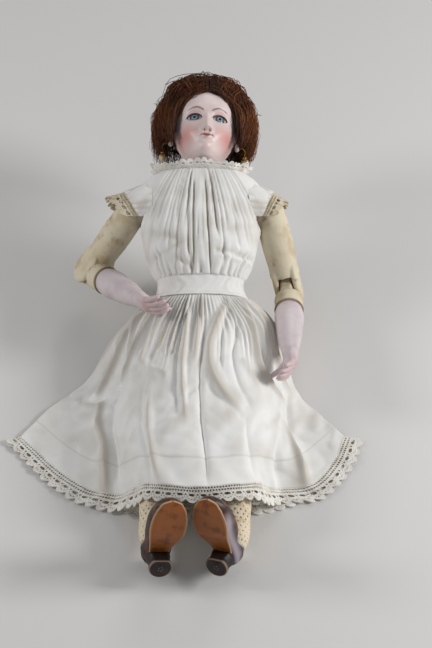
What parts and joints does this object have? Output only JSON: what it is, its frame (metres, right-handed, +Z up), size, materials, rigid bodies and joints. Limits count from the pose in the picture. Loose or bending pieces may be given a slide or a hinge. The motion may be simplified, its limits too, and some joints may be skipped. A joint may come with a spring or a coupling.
{
  "type": "fashion doll",
  "caption": "Seated bisque-headed fashion doll in a lace-trimmed cotton dress, with jointed kid body, swivel head and hinged arms.",
  "frame": {"origin": "on the floor straight below the hip hinge, on the underside of the skirt that the doll sits on", "axes": "+Z up, +Y from the feet towards the head, +X to the doll's left"},
  "size_m": [0.246, 0.3671, 0.1405],
  "materials": {
    "kid": "soft matt kid leather with brown stains",
    "bisque": "unglazed tinted porcelain with painted features",
    "cotton": "fine off-white cotton, gathered",
    "lace": "ecru bobbin lace",
    "hair": "auburn mohair",
    "cork": "raw cork",
    "eye_glass": "polished glass with grey-blue iris",
    "stocking": "openwork cotton knit",
    "shoe_leather": "polished dark brown leather",
    "sole_leather": "waxed tan sole leather",
    "gilt": "gilt wire and beads",
    "pearl": "opaque wax pearl",
    "steel": "plain drawn steel",
    "beech": "turned beech",
    "china": "white china"
  },
  "bodies": {
    "seat": {"skirt_front": "cotton", "skirt_back": "cotton", "hem_lace_front": "lace", "hem_lace_back": "lace", "leg_left": "kid", "stocking_left": "stocking", "shoe_upper_left": "shoe_leather", "shoe_sole_left": "sole_leather", "shoe_heel_left": "shoe_leather", "shoe_rosette_left": "shoe_leather", "leg_right": "kid", "stocking_right": "stocking", "shoe_upper_right": "shoe_leather", "shoe_sole_right": "sole_leather", "shoe_heel_right": "shoe_leather", "shoe_rosette_right": "shoe_leather"},
    "trunk": {"torso": "kid", "shoulder_plate": "bisque", "neck_lining": "kid", "neck_washer": "steel", "neck_spring": "steel", "bodice": "cotton", "waistband": "cotton", "neck_frill": "lace", "back_button_1": "china", "back_button_2": "china", "back_button_3": "china"},
    "swivel_head": {"head": "bisque", "pate": "cork", "wig": "hair", "eye_left": "eye_glass", "eye_right": "eye_glass", "neck_rod": "steel", "neck_toggle": "beech"},
    "earring_left": {"earring_wire_left": "gilt", "earring_pearl_left": "pearl", "earring_bead_left": "gilt"},
    "arm_left": {"upper_arm_left": "kid", "sleeve_left": "cotton", "sleeve_lace_left": "lace"},
    "hand_left": {"elbow_cuff_left": "kid", "cuff_binding_left": "kid", "forearm_left": "bisque"},
    "earring_right": {"earring_wire_right": "gilt", "earring_pearl_right": "pearl", "earring_bead_right": "gilt"},
    "arm_right": {"upper_arm_right": "kid", "sleeve_right": "cotton", "sleeve_lace_right": "lace"},
    "hand_right": {"elbow_cuff_right": "kid", "cuff_binding_right": "kid", "forearm_right": "bisque"}
  },
  "joints": [
    {"name": "hip_fold", "type": "hinge", "parent": "seat", "child": "trunk", "pos_m": [0, 0, 0.0239], "axis": [1, 0, 0], "range_deg": [-15, 25], "deforming": ["skirt_front", "skirt_back"]},
    {"name": "neck_turn", "type": "hinge", "parent": "trunk", "child": "swivel_head", "pos_m": [0, 0.09498, 0.08325], "axis": [0.052, 0.9382, 0.3421], "range_deg": [-45, 45]},
    {"name": "shoulder_left", "type": "hinge", "parent": "trunk", "child": "arm_left", "pos_m": [0.0485, 0.08141, 0.07477], "axis": [-1, 0, 0], "range_deg": [0, 90]},
    {"name": "elbow_left", "type": "hinge", "parent": "arm_left", "child": "hand_left", "pos_m": [0.0619, 0.04998, 0.0304], "axis": [-0.9627, -0.03, -0.2689], "range_deg": [0, 52]},
    {"name": "earring_swing_left", "type": "hinge", "parent": "swivel_head", "child": "earring_left", "pos_m": [0.02593, 0.12418, 0.09568], "axis": [1, 0, 0], "range_deg": [-60, 10]},
    {"name": "shoulder_right", "type": "hinge", "parent": "trunk", "child": "arm_right", "pos_m": [-0.0485, 0.08141, 0.07477], "axis": [-1, 0, 0], "range_deg": [0, 90]},
    {"name": "elbow_right", "type": "hinge", "parent": "arm_right", "child": "hand_right", "pos_m": [-0.07862, 0.06869, 0.02931], "axis": [-0.7796, -0.2319, 0.5817], "range_deg": [0, 20]},
    {"name": "earring_swing_right", "type": "hinge", "parent": "swivel_head", "child": "earring_right", "pos_m": [-0.02182, 0.1251, 0.10047], "axis": [1, 0, 0], "range_deg": [-60, 10]}
  ]
}
